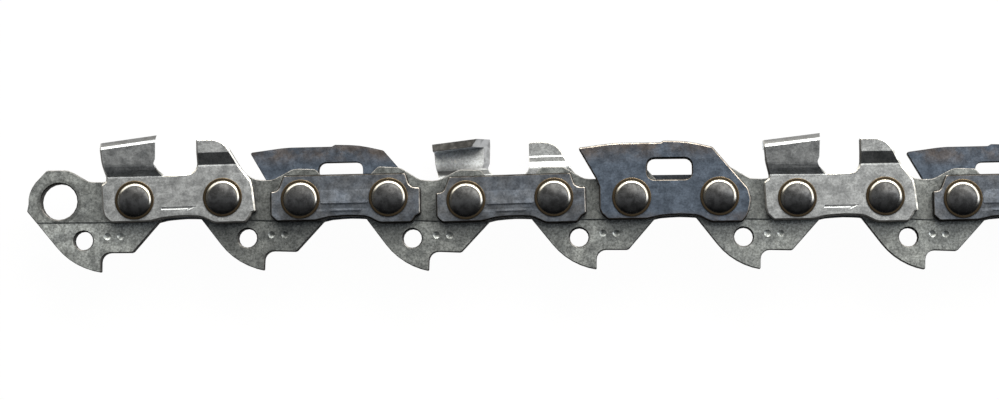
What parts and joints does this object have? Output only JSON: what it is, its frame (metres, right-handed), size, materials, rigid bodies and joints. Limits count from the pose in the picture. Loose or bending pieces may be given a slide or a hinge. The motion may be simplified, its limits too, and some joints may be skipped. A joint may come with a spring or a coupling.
{
  "type": "saw chain",
  "caption": "Free length of low-profile saw chain: hooked drive links, riveted side links, cutters with depth gauges and slotted bumper straps.",
  "frame": {"origin": "middle of the underside of the chain's box, the chain lying on its left side", "axes": "+X along the chain in its direction of travel, +Y from the drive tangs to the cutting edges, +Z along the rivets to the chain's right-hand side"},
  "size_m": [0.1278, 0.0156, 0.0057],
  "materials": {
    "drive_link_steel": "dark tempered steel, satin, mottled",
    "cutter_chrome": "matt grey plated steel, fine grain",
    "tie_strap_steel": "dark violet-blued steel, satin",
    "bumper_steel": "slate-blue tempered steel with brown heat tints",
    "rivet_steel": "near-black polished steel"
  },
  "bodies": {
    "drive_1": {"drive_link_1": "drive_link_steel"},
    "pair_1": {"left_tie_strap_1": "tie_strap_steel", "right_cutter_1": "cutter_chrome", "rivet_01": "rivet_steel", "rivet_02": "rivet_steel"},
    "drive_2": {"drive_link_2": "drive_link_steel"},
    "pair_2": {"left_bumper_2": "bumper_steel", "right_tie_strap_2": "tie_strap_steel", "rivet_03": "rivet_steel", "rivet_04": "rivet_steel"},
    "drive_3": {"drive_link_3": "drive_link_steel"},
    "pair_3": {"left_cutter_3": "cutter_chrome", "right_tie_strap_3": "tie_strap_steel", "rivet_05": "rivet_steel", "rivet_06": "rivet_steel"},
    "drive_4": {"drive_link_4": "drive_link_steel"},
    "pair_4": {"left_tie_strap_4": "tie_strap_steel", "right_bumper_4": "bumper_steel", "rivet_07": "rivet_steel", "rivet_08": "rivet_steel"},
    "drive_5": {"drive_link_5": "drive_link_steel"},
    "pair_5": {"left_tie_strap_5": "tie_strap_steel", "right_cutter_5": "cutter_chrome", "rivet_09": "rivet_steel", "rivet_10": "rivet_steel"},
    "drive_6": {"drive_link_6": "drive_link_steel"},
    "pair_6": {"left_bumper_6": "bumper_steel", "right_tie_strap_6": "tie_strap_steel", "rivet_11": "rivet_steel", "rivet_12": "rivet_steel"},
    "drive_7": {"drive_link_7": "drive_link_steel"}
  },
  "joints": [
    {"name": "rivet_01_hinge", "type": "hinge", "parent": "drive_1", "child": "pair_1", "pos_m": [-0.05153, 0.00023, 0.00283], "axis": [0, 0, -1], "range_deg": [-18.5, 27.2]},
    {"name": "rivet_02_hinge", "type": "hinge", "parent": "pair_1", "child": "drive_2", "pos_m": [-0.04164, 0.00055, 0.00283], "axis": [0, 0, -1], "range_deg": [-23.3, 22.4]},
    {"name": "rivet_03_hinge", "type": "hinge", "parent": "drive_2", "child": "pair_2", "pos_m": [-0.0329, 0.00034, 0.00283], "axis": [0, 0, -1], "range_deg": [-17.3, 28.4]},
    {"name": "rivet_04_hinge", "type": "hinge", "parent": "pair_2", "child": "drive_3", "pos_m": [-0.023, 0.00057, 0.00283], "axis": [0, 0, -1], "range_deg": [-23.4, 22.3]},
    {"name": "rivet_05_hinge", "type": "hinge", "parent": "drive_3", "child": "pair_3", "pos_m": [-0.01427, 0.00025, 0.00283], "axis": [0, 0, -1], "range_deg": [-16, 29.7]},
    {"name": "rivet_06_hinge", "type": "hinge", "parent": "pair_3", "child": "drive_4", "pos_m": [-0.00437, 0.00057, 0.00283], "axis": [0, 0, -1], "range_deg": [-21.9, 23.8]},
    {"name": "rivet_07_hinge", "type": "hinge", "parent": "drive_4", "child": "pair_4", "pos_m": [0.00437, 0.00057, 0.00283], "axis": [0, 0, -1], "range_deg": [-19.3, 26.4]},
    {"name": "rivet_08_hinge", "type": "hinge", "parent": "pair_4", "child": "drive_5", "pos_m": [0.01427, 0.00069, 0.00283], "axis": [0, 0, -1], "range_deg": [-21.8, 23.9]},
    {"name": "rivet_09_hinge", "type": "hinge", "parent": "drive_5", "child": "pair_5", "pos_m": [0.023, 0.00053, 0.00283], "axis": [0, 0, -1], "range_deg": [-17.9, 27.8]},
    {"name": "rivet_10_hinge", "type": "hinge", "parent": "pair_5", "child": "drive_6", "pos_m": [0.0329, 0.0007, 0.00283], "axis": [0, 0, -1], "range_deg": [-22.8, 22.9]},
    {"name": "rivet_11_hinge", "type": "hinge", "parent": "drive_6", "child": "pair_6", "pos_m": [0.04164, 0.00042, 0.00283], "axis": [0, 0, -1], "range_deg": [-17, 28.7]},
    {"name": "rivet_12_hinge", "type": "hinge", "parent": "pair_6", "child": "drive_7", "pos_m": [0.05154, 0.00063, 0.00283], "axis": [0, 0, -1], "range_deg": [-21.8, 23.9]}
  ]
}
